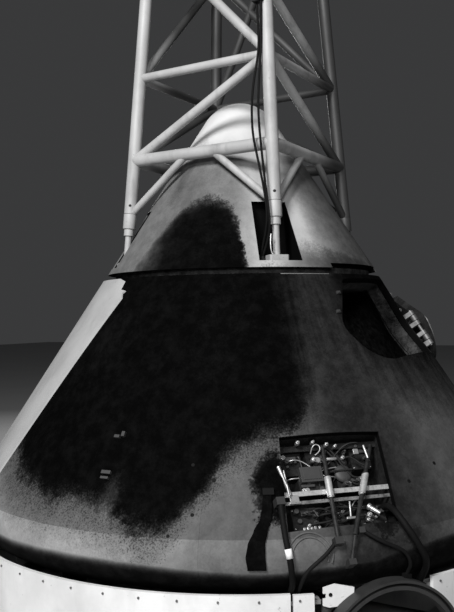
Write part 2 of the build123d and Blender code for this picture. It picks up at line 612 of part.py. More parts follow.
# strap: (middle, half width, height), beside azimuth STRAP_AZ
STRAP_AZ = -57.2
STRAP = ((18, 24, 1131), (14, 26, 1073), (3, 30, 1016), (-27, 36, 961), (-51, 43, 905), (-57, 48, 849), (-50, 46, 786))
STRAP_LIFT = (8.0, 13.0)
TH_S = radians(-14)
with BuildPart() as webbing_strap:
    s = radians(-66.0 - 90.0)
    m = (TH_S + TH2) / 2
    d0, d1 = STRAP_LIFT
    with BuildSketch(Plane(origin=(0, 0, 0), x_dir=(cos(s), sin(s), 0), z_dir=(sin(s), -cos(s), 0))) as sk:
        with BuildLine() as ln:
            ThreePointArc(torus_pt(TH_S, -d1), torus_pt(m, -d1), torus_pt(TH2, -d1))
            Line(torus_pt(TH2, -d1), (rc(1131, d1), 1131))
            Line((rc(1131, d1), 1131), (rc(1131, d0), 1131))
            Line((rc(1131, d0), 1131), torus_pt(TH2, -d0))
            ThreePointArc(torus_pt(TH2, -d0), torus_pt(m, -d0), torus_pt(TH_S, -d0))
            Line(torus_pt(TH_S, -d0), torus_pt(TH_S, -d1))
        make_face(ln.edges())
    revolve(sk.sketch, axis=Axis.Z, revolution_arc=16)
    with BuildSketch(radial_plane(STRAP_AZ, 1500.0)) as out:
        Polygon(*([(c - w, z) for c, w, z in STRAP] + [(c + w, z) for c, w, z in reversed(STRAP)]), align=None)
    extrude(out.sketch, amount=700, mode=Mode.INTERSECT)
save(webbing_strap, "webbing_strap")

# ---- tower ---------------------------------------------------------------------------


def leg_r(z):
    return LEG_R0 + LEG_SLOPE * (z - 2758.0)


def leg_pt(i, z, out=0.0):
    return pol(leg_r(z) + out, LEG_AZ[i % 4], z)


def face_pt(i, u, z):
    """Point on tower face i, which runs from leg i (u = 0) to the next leg (u = 1)."""
    a, b = Vector(*leg_pt(i, z)), Vector(*leg_pt(i + 1, z))
    return tuple(a + (b - a) * u)


def face_tube(i, u0, z0, u1, z1, d):
    """Tube on face i, mitred at the planes through the two legs."""
    with BuildPart() as b:
        tube(face_pt(i, u0, z0), face_pt(i, u1, z1), d)
        sector(0.0, 1200.0, LEG_AZ[i % 4] + 0.25, LEG_AZ[i % 4] + 89.75,
               min(z0, z1) - 120, max(z0, z1) + 120, Mode.INTERSECT)
    return b.part


with BuildPart() as tower_legs:
    for i in range(4):
        tube(leg_pt(i, Z_FOOT), leg_pt(i, Z_R4), LEG_D)
    with BuildSketch(Plane.XY.offset(Z_R4 - 30)):
        Circle(1200)
    extrude(amount=100, mode=Mode.SUBTRACT)
save(tower_legs, "tower_legs")

# ring tubes: (name, height, diameter)
RINGS = (("tower_ring_lower", Z_R1, LEG_D - 3), ("tower_ring_middle", Z_R2, TUBE_D - 3),
         ("tower_ring_upper", Z_R3, TUBE_D - 3))
cut_by = [tower_legs.part]
for name, z, d in RINGS:
    tubes = [face_tube(i, 0, z, 1, z, d) for i in range(4)]
    with BuildPart() as ring:
        for tb in tubes:
            add(tb)
        add(tower_legs.part, mode=Mode.SUBTRACT)
    cut_by.append(ring.part)
    save(ring, name)

# braces: (group, face, u at the low end, low z, u at the high end, high z, diameter)
# legs 0 front, 1 right, 2 back, 3 left; face 3 runs from the left leg to the front leg
Z_FB = 2795.0
Z_K = 4288.0                # where one brace meets the front leg between two rings
BRACES = tuple(("tower_foot_braces", f, 0.0, Z_FB, 0.41, Z_R1, 51.0) for f in range(4)) + tuple(
    ("tower_foot_braces", f, 1.0, Z_FB, 0.59, Z_R1, 51.0) for f in range(4)) + (
    ("tower_braces_lower", 3, 0.0, Z_R1, 1.0, Z_R2, TUBE_D), ("tower_braces_lower", 0, 1.0, Z_R1, 0.0, Z_R2, TUBE_D),
    ("tower_braces_lower", 2, 1.0, Z_R1, 0.0, Z_R2, TUBE_D), ("tower_braces_lower", 1, 0.0, Z_R1, 1.0, Z_R2, TUBE_D),
    ("tower_braces_middle", 3, 1.0, Z_R2, 0.0, Z_R3, TUBE_D), ("tower_braces_middle", 2, 1.0, Z_R2, 0.0, Z_R3, TUBE_D),
    ("tower_braces_middle", 1, 0.0, Z_R2, 1.0, Z_R3, TUBE_D), ("tower_cross_brace", 1, 1.0, Z_R2, 0.5, Z_R3, TUBE_D),
    ("tower_braces_middle", 0, 1.0, Z_R2, 0.0, Z_K, TUBE_D),
    ("tower_braces_upper", 0, 0.0, Z_R3, 1.0, Z_R4 - 80, TUBE_D), ("tower_braces_upper", 3, 1.0, Z_R3, 0.0, Z_R4 - 80, TUBE_D),
    ("tower_braces_upper", 1, 1.0, Z_R3, 0.0, Z_R4 - 80, TUBE_D), ("tower_braces_upper", 2, 0.0, Z_R3, 1.0, Z_R4 - 80, TUBE_D),
)
for group in ("tower_foot_braces", "tower_braces_lower", "tower_braces_middle", "tower_cross_brace", "tower_braces_upper"):
    tubes = [face_tube(f, u0, z0, u1, z1, d) for g, f, u0, z0, u1, z1, d in BRACES if g == group]
    with BuildPart() as braces:
        for tb in tubes:
            add(tb)
        for other in cut_by:
            add(other, mode=Mode.SUBTRACT)
        with BuildSketch(Plane.XY.offset(Z_R4 - 30)):
            Circle(1200)
        extrude(amount=200, mode=Mode.SUBTRACT)
    cut_by.append(braces.part)
    save(braces, group)

# head frame that the escape motor bolts to
TOP_R = leg_r(Z_R4)
with BuildPart() as tower_head_ring:
    with BuildSketch(Plane.XY.offset(Z_R4 - 30)):
        Circle(TOP_R + 70)
        Circle(TOP_R - 60, mode=Mode.SUBTRACT)
        with PolarLocations(TOP_R, 16, start_angle=22.5 / 2):
            Circle(8, mode=Mode.SUBTRACT)
    extrude(amount=60)
save(tower_head_ring, "tower_head_ring")

# feet: release bolt post and base plate in each well
with BuildPart() as tower_feet:
    for i in range(4):
        tube(leg_pt(i, WELL_Z[0] + 20), leg_pt(i, Z_FOOT), 46)
        tube(leg_pt(i, Z_FOOT - 50), leg_pt(i, Z_FOOT), 70)
        with BuildSketch(Plane(origin=leg_pt(i, WELL_Z[0]), x_dir=pol(1, LEG_AZ[i]), z_dir=(0, 0, 1))):
            RectangleRounded(120, 130, 14)
        extrude(amount=40)
save(tower_feet, "tower_feet")

# two cables down the front leg: each point as (x, y) from the leg's centre line, and height
LEG_CABLES = (("cable_tower_outer", ((-37, 51, 4146), (-43, 45, 3990), (-48, 41, 3860), (-49, 59, 3742), (-73, 85, 3576),
                                     (-91, 94, 3406), (-99, 88, 3237), (-96, 64, 3102), (-92, 37, 2948), (-82, 21, 2812),
                                     (-64, 24, 2701), (-40, 52, 2606), (-20, 88, 2520), (-6, 116, 2441))),
              ("cable_tower_inner", ((-58, 8, 4146), (-59, 14, 4007), (-55, 20, 3877), (-67, 35, 3671), (-85, 46, 3467),
                                     (-94, 41, 3298), (-99, 30, 3163), (-103, 17, 3010), (-102, 6, 2865), (-90, -2, 2740),
                                     (-66, 6, 2640), (-48, 32, 2562), (-40, 62, 2494), (-38, 84, 2441))))
CABLE_D = 16.0


def off_leg(x, y, z):
    a = leg_pt(0, z)
    return (a[0] + x, a[1] + y, z)


with BuildPart() as tower_cable_sockets:
    with BuildSketch(Plane.XY.offset(4142)):
        with Locations((leg_pt(0, 4142)[0] - 44, leg_pt(0, 4142)[1] + 32)):
            Rectangle(62, 76)
    extrude(amount=50)
    add(tower_legs.part, mode=Mode.SUBTRACT)
    for name, pts in LEG_CABLES:
        x, y, z = off_leg(*pts[-1])
        with BuildSketch(Plane(origin=(x, y, WELL_Z[0]))):
            Circle(14)
        extrude(amount=z + 4 - WELL_Z[0])
save(tower_cable_sockets, "tower_cable_sockets")
for name, pts in LEG_CABLES:
    cord([off_leg(*q) for q in pts], CABLE_D, (tower_cable_sockets.part,), name)

# ---- side hatch, folded back about its hinge line -------------------------------------
HINGE_O = HATCH.from_local_coords((HINGE_X, 0, HINGE_DEPTH))
HINGE = Plane(origin=HINGE_O, x_dir=-HATCH.x_dir, z_dir=HATCH.y_dir)
SWING = HINGE.location * Location((0, 0, 0), (0, 0, HATCH_OPEN)) * HINGE.location.inverse()


def swung(p):
    return Plane(SWING * p.location)


HATCH_OPENED = swung(HATCH)
AXIS_OPENED = Axis(swung(Plane.XY).origin, swung(Plane.XY).z_dir)
DOOR_T = 50.0


def door_slab(d0, d1):
    """Shell of the side wall between two depths, in the opened hatch's place."""
    with BuildSketch(swung(Plane.XZ)) as sk:
        Polygon((rc(1700, -d0), 1700), (rc(2400, -d0), 2400), (rc(2400, -d1), 2400), (rc(1700, -d1), 1700), align=None)
    revolve(sk.sketch, axis=AXIS_OPENED)


with BuildPart() as hatch_door:
    door_slab(0, DOOR_T)
    hatch_prism(-HATCH_GAP, HATCH_OPENED, 60, 420, Mode.INTERSECT)
    with BuildSketch(HATCH_OPENED):
        with Locations((0, 40)):
            Circle(118)
    extrude(amount=200, both=True, mode=Mode.SUBTRACT)
save(hatch_door, "hatch_door")
with BuildPart() as hatch_window:
    with BuildSketch(Plane(origin=HATCH_OPENED.from_local_coords((0, 0, -22)), x_dir=HATCH_OPENED.x_dir, z_dir=HATCH_OPENED.z_dir)):
        with Locations((0, 40)):
            Circle(117.5)
    extrude(amount=-14)
save(hatch_window, "hatch_window")
with BuildPart() as hatch_latch_frame:
    door_slab(DOOR_T, DOOR_T + 28)
    hatch_prism(-60, HATCH_OPENED, 60, 420, Mode.INTERSECT)
    hatch_prism(-115, HATCH_OPENED, 60, 420, Mode.SUBTRACT)
save(hatch_latch_frame, "hatch_latch_frame")
HINGE_OPENED = swung(HINGE)
# hinge arms on the door: (low, high) along the hinge line
ARMS = ((-190.0, -150.0), (-20.0, 20.0))
# side profile of an arm: x from the hinge line towards the door, y outward
ARM = ((0, -14), (60, -11), (100, 0), (138, 5), (150, -34), (232, -10), (232, 40), (200, 44), (60, 20), (0, 14))
PIN_D = 24.0
with BuildPart() as hatch_hinge_arms:
    for s0, s1 in ARMS:
        p = Plane(origin=HINGE_OPENED.from_local_coords((0, 0, s0)), x_dir=HINGE_OPENED.x_dir, z_dir=HINGE_OPENED.z_dir)
        with BuildSketch(p):
            Circle(24)
            Polygon(*ARM, align=None)
        extrude(amount=s1 - s0)
        with BuildSketch(p):
            Circle(PIN_D / 2 + 0.05)
        extrude(amount=s1 - s0, mode=Mode.SUBTRACT)
    add(hatch_door.part, mode=Mode.SUBTRACT)
    add(hatch_latch_frame.part, mode=Mode.SUBTRACT)
save(hatch_hinge_arms, "hatch_hinge_arms")
# posts on the cone: (low, high) along the hinge line
POSTS = ((-232.0, -195.0), (-145.0, -115.0), (-58.0, -26.0), (26.0, 58.0))
with BuildPart() as hinge_posts:
    for s0, s1 in POSTS:
        p = Plane(origin=HINGE.from_local_coords((0, 0, s0)), x_dir=HINGE.x_dir, z_dir=HINGE.z_dir)
        with BuildSketch(p):
            Circle(22)
            Polygon((-22, 0), (22, 0), (36, -150), (-60, -190), align=None)
        extrude(amount=s1 - s0)
    frustum(1500, 2320, 0, Mode.SUBTRACT)
    tube(HINGE.from_local_coords((0, 0, -240)), HINGE.from_local_coords((0, 0, 66)), PIN_D)
save(hinge_posts, "hinge_posts")
print("hinge origin", HINGE_O, "axis", HATCH.y_dir)
print("dome radius", R_DOME, "apex", Z_APEX, "top leg radius", TOP_R)
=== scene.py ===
import bpy, bmesh, random
from math import asin, sin, cos, tan, radians, degrees, pi, sqrt, atan2, hypot
from mathutils import Vector, Matrix, Euler, noise as mnoise


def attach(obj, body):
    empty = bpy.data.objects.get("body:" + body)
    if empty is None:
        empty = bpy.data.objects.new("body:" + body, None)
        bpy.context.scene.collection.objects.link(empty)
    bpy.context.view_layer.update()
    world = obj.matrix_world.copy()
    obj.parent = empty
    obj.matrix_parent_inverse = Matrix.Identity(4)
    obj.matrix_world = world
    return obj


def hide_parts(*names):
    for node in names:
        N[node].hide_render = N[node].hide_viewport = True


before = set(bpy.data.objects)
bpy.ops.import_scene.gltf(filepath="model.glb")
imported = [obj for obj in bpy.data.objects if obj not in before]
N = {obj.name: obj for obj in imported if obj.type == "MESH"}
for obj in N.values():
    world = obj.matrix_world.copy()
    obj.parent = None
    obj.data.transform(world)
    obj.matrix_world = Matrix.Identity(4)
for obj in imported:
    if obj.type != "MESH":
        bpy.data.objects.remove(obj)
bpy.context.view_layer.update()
scene = bpy.context.scene
RND = random.Random(11)

# ---- the capsule's own shape, as in the CAD source, in metres -------------------------
HA = radians(33.0)
TT, CA, SA = tan(HA), cos(HA), sin(HA)
Z_APEX = 3.89003
Z_SH = 0.92675
Z_SEAM_LO, Z_SEAM_HI = 2.328, 2.368
R_MAX = 1.956
LEG_AZ = (-45.0, 45.0, 135.0, -135.0)
Z_R1, Z_R2, Z_R3, Z_R4 = 3.194, 3.798, 4.850, 5.700


def rc(z, off=0.0):
    return (Z_APEX - z) * TT + off / CA


def pol(r, az, z=0.0):
    a = radians(az)
    return Vector((r * sin(a), -r * cos(a), z))


def wall(az, z, off=0.0):
    """Point on the side wall, its outward normal, the level tangent and the way up the slope."""
    a = radians(az)
    n = Vector((sin(a) * CA, -cos(a) * CA, SA))
    t = Vector((cos(a), sin(a), 0))
    return pol(rc(z), az, z) + n * off, n, t, n.cross(t)


def leg_r(z):
    return 0.838 - 0.088 * (z - 2.758)


def leg_pt(i, z, out=0.0):
    return pol(leg_r(z) + out, LEG_AZ[i % 4], z)


# the equipment bay's own frame: x right, y up the slope, d outward, in millimetres
BAY_AZ = -43.3
BO, BN, BX, BY = wall(BAY_AZ, 1.170)


def bay(x, y, d):
    return BO + (BX * x + BY * y + BN * d) * 0.001


def shell(az, z, off=0.0):
    """Point on the side wall or the rounded shoulder under it, and the outward normal."""
    if z >= Z_SH:
        q, n, t, u = wall(az, z, off)
        return q, n
    th = asin(max(-1.0, min(1.0, (z - 0.820) / 0.196)))
    a = radians(az)
    n = Vector((sin(a) * cos(th), -cos(a) * cos(th), sin(th)))
    return pol(1.760, az, 0.820) + n * (0.196 + off), n


# ---- camera -----------------------------------------------------------------------------
cam_data = bpy.data.cameras.new("camera")
cam = bpy.data.objects.new("camera", cam_data)
scene.collection.objects.link(cam)
cam_data.sensor_width = 36.0
cam_data.lens = 46.70
fwd = Vector((0.85877, 0.51230, 0.00751))
rgt = Vector((0.51235, -0.85864, -0.01523))
upv = Vector((0.00135, -0.01693, 0.99986))
cam.matrix_world = Matrix(((rgt.x, upv.x, -fwd.x, -5.18302), (rgt.y, upv.y, -fwd.y, -2.95754),
                           (rgt.z, upv.z, -fwd.z, 2.08833), (0, 0, 0, 1)))
cam_data.clip_end = 200
scene.camera = cam

# ---- small helpers ------------------------------------------------------------------------


def link(name, mesh, mat=None):
    o = bpy.data.objects.new(name, mesh)
    scene.collection.objects.link(o)
    if mat:
        o.data.materials.append(mat)
    return o


class Mat:
    """A node material written as short expressions."""

    def __init__(s, name, rough=0.6, metal=0.0, spec=0.5):
        s.m = bpy.data.materials.new(name)
        s.m.use_nodes = True
        s.nt = s.m.node_tree
        s.nt.nodes.clear()
        s.out = s.nt.nodes.new("ShaderNodeOutputMaterial")
        s.b = s.nt.nodes.new("ShaderNodeBsdfPrincipled")
        s.nt.links.new(s.b.outputs[0], s.out.inputs[0])
        s.b.inputs["Roughness"].default_value = rough
        s.b.inputs["Metallic"].default_value = metal
        s.b.inputs["Specular IOR Level"].default_value = spec
        s.P = s.new("ShaderNodeTexCoord").outputs["Object"]
        sep = s.new("ShaderNodeSeparateXYZ")
        s.nt.links.new(s.P, sep.inputs[0])
        s.x, s.y, s.z = sep.outputs[:3]
        s.heights = []

    def new(s, kind, **kw):
        n = s.nt.nodes.new(kind)
        for k, v in kw.items():
            setattr(n, k, v)
        return n

    def put(s, sock, v):
        if isinstance(v, bpy.types.NodeSocket):
            s.nt.links.new(v, sock)
        elif v is not None:
            sock.default_value = v

    def math(s, op, a, b=None, c=None, clamp=False):
        n = s.new("ShaderNodeMath", operation=op, use_clamp=clamp)
        for i, v in enumerate((a, b, c)):
            s.put(n.inputs[i], v)
        return n.outputs[0]

    def add(s, a, b):
        return s.math("ADD", a, b)

    def sub(s, a, b):
        return s.math("SUBTRACT", a, b)

    def mul(s, a, b, clamp=False):
        return s.math("MULTIPLY", a, b, clamp=clamp)

    def az(s):
        """Azimuth in degrees, 0 facing -Y and growing to +X."""
        if not hasattr(s, "_az"):
            s._az = s.mul(s.math("ARCTAN2", s.x, s.mul(s.y, -1.0)), 180 / pi)
        return s._az

    def noise(s, scale, detail=4.0, rough=0.55, dist=0.0, vec=None, out=0):
        n = s.new("ShaderNodeTexNoise")
        s.put(n.inputs["Vector"], vec or s.P)
        n.inputs["Scale"].default_value = scale
        n.inputs["Detail"].default_value = detail
        n.inputs["Roughness"].default_value = rough
        n.inputs["Distortion"].default_value = dist
        return n.outputs[out]

    def voronoi(s, scale, feature="F1", vec=None, rand=1.0):
        n = s.new("ShaderNodeTexVoronoi", feature=feature)
        s.put(n.inputs["Vector"], vec or s.P)
        n.inputs["Scale"].default_value = scale
        n.inputs["Randomness"].default_value = rand
        return n.outputs["Distance"]

    def vec(s, x, y, z):
        n = s.new("ShaderNodeCombineXYZ")
        for i, v in enumerate((x, y, z)):
            s.put(n.inputs[i], v)
        return n.outputs[0]

    def scaled(s, sx, sy, sz, vec=None):
        n = s.new("ShaderNodeMapping")
        s.put(n.inputs[0], vec or s.P)
        n.inputs["Scale"].default_value = (sx, sy, sz)
        return n.outputs[0]

    def step(s, v, lo, hi, a=0.0, b=1.0, smooth=True):
        """v from lo to hi becomes a to b."""
        n = s.new("ShaderNodeMapRange", interpolation_type="SMOOTHSTEP" if smooth else "LINEAR")
        n.clamp = True
        for i, x in enumerate((v, lo, hi, a, b)):
            s.put(n.inputs[i], x)
        return n.outputs[0]

    def curve(s, v, lo, hi, pts, ylo, yhi):
        """A line of (x, y) points read at v."""
        n = s.new("ShaderNodeFloatCurve")
        c = n.mapping.curves[0]
        pts = [((x - lo) / (hi - lo), (y - ylo) / (yhi - ylo)) for x, y in pts]
        c.points[0].location = pts[0]
        c.points[1].location = pts[-1]
        for p in pts[1:-1]:
            c.points.new(*p)
        for p in c.points:
            p.handle_type = "VECTOR"
        n.mapping.use_clip = False
        n.mapping.update()
        s.put(n.inputs["Value"], s.step(v, lo, hi, 0.0, 1.0, smooth=False))
        return s.add(s.mul(n.outputs[0], yhi - ylo), ylo)

    def mix(s, f, a, b):
        n = s.new("ShaderNodeMix", data_type="RGBA")
        s.put(n.inputs[0], f)
        for sock, v in ((n.inputs[6], a), (n.inputs[7], b)):
            s.put(sock, (v, v, v, 1) if isinstance(v, (int, float)) else v)
        return n.outputs[2]

    def ramp(s, v, stops):
        n = s.new("ShaderNodeValToRGB")
        e = n.color_ramp.elements
        for i, (p, c) in enumerate(stops):
            el = e[i] if i < 2 else e.new(p)
            el.position = p
            el.color = (c, c, c, 1) if isinstance(c, (int, float)) else c
        s.put(n.inputs[0], v)
        return n.outputs[0]

    def blob(s, az, z, a0, z0, sa, sz, edge=0.35):
        """Soft patch around an azimuth and height, 1 inside and 0 outside."""
        da = s.mul(s.sub(az, a0), 1.0 / sa)
        dz = s.mul(s.sub(z, z0), 1.0 / sz)
        d = s.math("SQRT", s.add(s.mul(da, da), s.mul(dz, dz)))
        return s.step(d, 1.0 + edge, 1.0 - edge, 0.0, 1.0)

    def bump(s, h, strength, dist, normal=None):
        n = s.new("ShaderNodeBump")
        n.inputs["Strength"].default_value = strength
        n.inputs["Distance"].default_value = dist
        s.put(n.inputs["Height"], h)
        if s.heights:
            s.put(n.inputs["Normal"], s.heights[-1])
        s.heights.append(n.outputs[0])

    def done(s, color, rough=None):
        s.put(s.b.inputs["Base Color"], color)
        if rough is not None:
            s.put(s.b.inputs["Roughness"], rough)
        if s.heights:
            s.put(s.b.inputs["Normal"], s.heights[-1])
        return s.m


def g(v, warm=0.0):
    return (v * (1 + warm), v, v * (1 - warm), 1.0)


# ---- materials ---------------------------------------------------------------------------
def skin(name, kind):
    """Heat-shield skin sooted by the fire, with painted shade in its recesses and under the shoulder, and painted
    light on the forward cone's top. kind: crew, forward or shield.
    """
    m = Mat(name, rough=0.85, spec=0.02)
    az, z = m.az(), m.z
    n1 = m.sub(m.noise(3.2, 6, 0.6), 0.5)
    n2 = m.sub(m.noise(3.6, 6, 0.62, vec=m.vec(m.add(m.x, 7.0), m.y, m.z)), 0.5)
    nf = m.sub(m.noise(26, 5, 0.7), 0.5)
    ng = m.sub(m.noise(95, 3, 0.6), 0.5)
    a = m.add(m.add(az, m.mul(n1, 8.0)), m.mul(nf, 4.0))
    h = m.add(m.add(z, m.mul(n2, 0.15)), m.add(m.mul(nf, 0.11), m.mul(ng, 0.12)))
    streak = m.step(m.noise(1.0, 5, 0.65, vec=m.vec(m.mul(az, 0.42), m.mul(z, 0.9), 0.0)), 0.34, 0.68)
    r = m.math("SQRT", m.add(m.mul(m.x, m.x), m.mul(m.y, m.y)))
    top = Z_APEX + (0.006 / SA if kind == "forward" else 0.0)
    # painted shade: skin sunk more than about 4 to 10 mm under the outer surface, in wells and openings, is painted
    # near black
    recess_shade = m.step(m.mul(m.sub(r, m.mul(m.sub(top, z), TT)), CA), -0.004, -0.010)
    if kind in ("crew", "shield"):
        low = m.curve(a, -180, 180, ((-180, 2.2), (-160, 2.0), (-140, 1.65), (-120, 1.30), (-108, 1.14), (-98, 1.08), (-88, 1.08),
                                      (-81.5, 1.03), (-77.3, 0.965), (-73.9, 0.955), (-71.1, 1.06), (-68.2, 1.18), (-64, 1.33),
                                      (-59.2, 1.395), (-54.1, 1.45), (-48.6, 1.50), (-44, 1.62), (-40, 2.1), (-30, 2.3), (180, 2.3)), 0.8, 2.4)
        e = m.sub(h, low)
        black = m.step(e, -0.10, 0.06)
        core = m.mul(black, m.step(a, -50.0, -43.0, 1.0, 0.0))
        grey = m.curve(a, -180, 180, ((-180, 0.2), (-55, 0.2), (-49, 0.90), (-45, 0.74), (-41, 0.58), (-36, 0.52), (-30, 0.58), (-15, 0.66),
                                       (20, 0.62), (60, 0.40), (180, 0.2)), 0.0, 1.0)
        grey = m.mul(m.mul(grey, m.step(h, 1.02, 2.02)), m.step(streak, 0.0, 1.0, 0.90, 1.08))
        soot_and_shade = m.math("MAXIMUM", core, grey)
        dim = m.curve(az, -180, 180, ((-180, 0.12), (-90, 0.02), (-76, 0.04), (-68, 0.17), (-56, 0.19), (-48, 0.22), (-42, 0.50), (-34, 0.52), (-27, 0.38), (-20, 0.20), (0, 0.20), (180, 0.12)), 0.0, 1.0)
        soot_and_shade = m.math("MAXIMUM", soot_and_shade, m.add(dim, m.mul(nf, 0.10)))
        soot_and_shade = m.math("MAXIMUM", soot_and_shade, m.mul(m.blob(a, h, 3, 2.14, 36, 0.40, 0.45), 0.97))
        soot_and_shade = m.math("MAXIMUM", soot_and_shade, m.mul(m.blob(a, h, -55.5, 1.19, 3.3, 0.125, 0.35), 0.99))
        soot_and_shade = m.math("MAXIMUM", soot_and_shade, m.mul(m.blob(a, h, -56.8, 1.085, 2.3, 0.085, 0.5), 0.95))
        soot_and_shade = m.math("MAXIMUM", soot_and_shade, m.mul(m.blob(a, h, -10, 2.27, 22, 0.15, 0.5), 0.88))
        soot_and_shade = m.math("MAXIMUM", soot_and_shade, m.mul(m.blob(a, h, -36.8, 0.985, 2.9, 0.10, 0.5), 0.72))
        soot_and_shade = m.math("MAXIMUM", soot_and_shade, m.mul(m.blob(a, h, -33.4, 0.885, 4.0, 0.06, 0.6), 0.6))
        # spray of soot specks just under the black edge
        near = m.mul(m.step(e, -0.34, -0.02), m.step(a, -46, -52))
        speck = m.mul(m.step(m.add(m.noise(105, 4, 0.7), m.mul(near, 0.14)), 0.56, 0.72), near)
        soot_and_shade = m.math("MAXIMUM", soot_and_shade, m.mul(speck, 0.42))
        soot_and_shade = m.math("MAXIMUM", soot_and_shade, m.mul(near, 0.20))
        pale = m.math("MAXIMUM", m.mul(m.blob(a, h, -101, 1.93, 6, 0.17, 0.7), 0.13),
                      m.mul(m.blob(a, h, -84.2, 1.115, 2.0, 0.09, 0.6), 0.45))
        pale = m.math("MAXIMUM", pale, m.mul(m.blob(a, h, -66, 2.0, 6, 0.26, 0.9), 0.06))
        soot_and_shade = m.sub(soot_and_shade, pale)
        light, shade = (0.185, 0.145) if kind == "crew" else (0.31, 0.25)
        recess_shade = m.mul(recess_shade, m.step(z, 0.930, 0.936))
        if kind == "shield":
            # painted shade, partly the darker ablator: edge follows the shoulder's terminator and the skin beneath it
            # is darkened, in the same mask as the soot
            edge = m.curve(a, -180, 180, ((-180, 0.76), (-82, 0.787), (-75, 0.777), (-67, 0.765), (-58, 0.750), (-47, 0.775), (-40, 0.800), (-36, 0.830),
                                           (-24, 0.862), (0, 0.84), (60, 0.80), (180, 0.76)), 0.6, 1.0)
            under = m.step(m.sub(m.add(z, m.mul(n2, 0.02)), edge), 0.035, -0.040)
            soot_and_shade = m.math("MAXIMUM", soot_and_shade, m.mul(under, 0.80))
    else:
        arch = m.curve(a, -180, 180, ((-180, 2.2), (-118, 2.26), (-108, 2.40), (-102, 2.55), (-96, 2.70), (-90, 2.79), (-80, 2.83), (-71, 2.81),
                                       (-66.0, 2.75), (-61.5, 2.62), (-59.4, 2.46), (-57.8, 2.30), (-54, 2.2), (180, 2.2)), 2.0, 3.0)
        e = m.sub(arch, h)
        inside = m.step(e, -0.13, 0.09)
        side = m.curve(a, -180, 180, ((-180, 0.12), (-114, 0.16), (-108, 0.24), (-103, 0.40), (-98, 0.60), (-93, 0.84), (-88, 0.95), (-60, 0.96), (180, 0.96)), 0.0, 1.0)
        core = m.mul(m.blob(a, h, -77.0, 2.74, 6.5, 0.10, 0.7), 1.0)
        flank = m.mul(m.blob(a, h, -103, 2.98, 9, 0.22, 0.9), 0.30)
        haze = m.curve(a, -180, 180, ((-180, 0.10), (-110, 0.22), (-92, 0.24), (-78, 0.20), (-64, 0.17), (-52, 0.03), (-44, 0.0), (-30, 0.0), (-22, 0.16), (-10, 0.28), (30, 0.3), (90, 0.15), (180, 0.10)), 0.0, 1.0)
        foot = m.mul(m.blob(a, h, -118, 2.40, 18, 0.05, 0.8), 0.22)
        lip = m.mul(m.step(h, 2.41, 2.36), 0.12)
        right = m.mul(m.blob(a, h, -12, 2.38, 22, 0.12, 0.9), 0.45)
        soot_and_shade = m.math("MAXIMUM", m.mul(inside, side), core)
        haze = m.mul(haze, m.step(m.add(z, m.mul(n2, 0.3)), 3.32, 3.00))
        for other in (flank, foot, lip, right, haze):
            soot_and_shade = m.math("MAXIMUM", soot_and_shade, other)
        near = m.mul(m.step(e, -0.30, 0.0), 1.0)
        speck = m.mul(m.step(m.add(m.noise(105, 4, 0.7), m.mul(near, 0.12)), 0.58, 0.74), near)
        soot_and_shade = m.math("MAXIMUM", soot_and_shade, m.mul(speck, 0.30))
        recess_shade = m.mul(recess_shade, m.step(z, 2.84, 2.82))
        light, shade = (0.40, 0.31)
    drift = m.noise(2.4, 5, 0.62, vec=m.scaled(1.0, 1.0, 0.55))
    base = m.mix(m.step(drift, 0.35, 0.72), light, shade)
    base = m.mix(m.mul(m.step(m.noise(24, 4, 0.6), 0.58, 0.74), 0.18), base, shade * 0.45)
    base = m.mix(m.step(m.noise(80, 2, 0.5), 0.62, 0.74, 0.0, 0.25), base, shade * 0.5)
    base = m.mix(m.step(m.noise(9, 5, 0.7), 0.44, 0.74, 0.0, 0.22), base, shade * 0.6)
    soot_and_shade = m.math("ADD", soot_and_shade, m.mul(m.mul(ng, 0.35), soot_and_shade), clamp=True)
    # painted light: the forward cone's base colour is lighter towards its top and the dome
    if kind == "forward":
        base = m.mix(m.step(m.add(z, m.mul(n2, 0.2)), 3.02, 3.48), base, 0.50)
    char = m.step(m.noise(11, 6, 0.7), 0.38, 0.72, 0.0007, 0.0026)
    color = m.mul(m.math("POWER", base, m.sub(1.0, soot_and_shade)), m.math("POWER", char, soot_and_shade))
    color = m.mix(recess_shade, color, 0.003)
    m.bump(m.noise(6, 3, 0.5), 0.22, 0.012)
    m.bump(m.noise(45, 5, 0.65), 0.25, 0.003)
    return m.done(color, m.mix(soot_and_shade, 0.62, 0.88))


def paint(name, light, dark, grime=0.35, soot_z=None, rough=0.5, fine=40.0, far_side_shade=0.0):
    """Scuffed paint: grime in streaks, chips down to dark metal."""
    m = Mat(name, rough=rough, spec=0.45)
    streak = m.noise(9, 5, 0.6, vec=m.scaled(1.0, 1.0, 0.25))
    cloud = m.noise(2.8, 5, 0.6)
    base = m.mix(m.step(cloud, 0.3, 0.75), light, (light * 0.72 + dark * 0.28))
    grimy = m.mul(m.step(streak, 0.48, 0.78), grime)
    base = m.mix(grimy, base, dark)
    chips = m.step(m.noise(fine, 4, 0.7), 0.66, 0.72, 0.0, 0.55)
    base = m.mix(chips, base, dark * 0.5)
    if soot_z:
        lo, hi = soot_z
        s = m.step(m.add(m.z, m.mul(m.sub(m.noise(5, 4, 0.6), 0.5), 0.5)), hi, lo, 0.0, 1.0)
        base = m.mix(m.mul(s, 0.75), base, 0.03)
    # painted shade: the paint is darkened on the side facing away from the key light
    if far_side_shade:
        base = m.mix(m.mul(m.step(m.add(m.mul(m.x, 0.8), m.mul(m.y, 0.35)), -0.26, 0.10), far_side_shade), base, 0.012)
    m.bump(m.noise(60, 4, 0.6), 0.18, 0.0015)
    m.bump(chips, -0.25, 0.001)
    return m.done(base, m.mix(cloud, rough - 0.08, rough + 0.18))


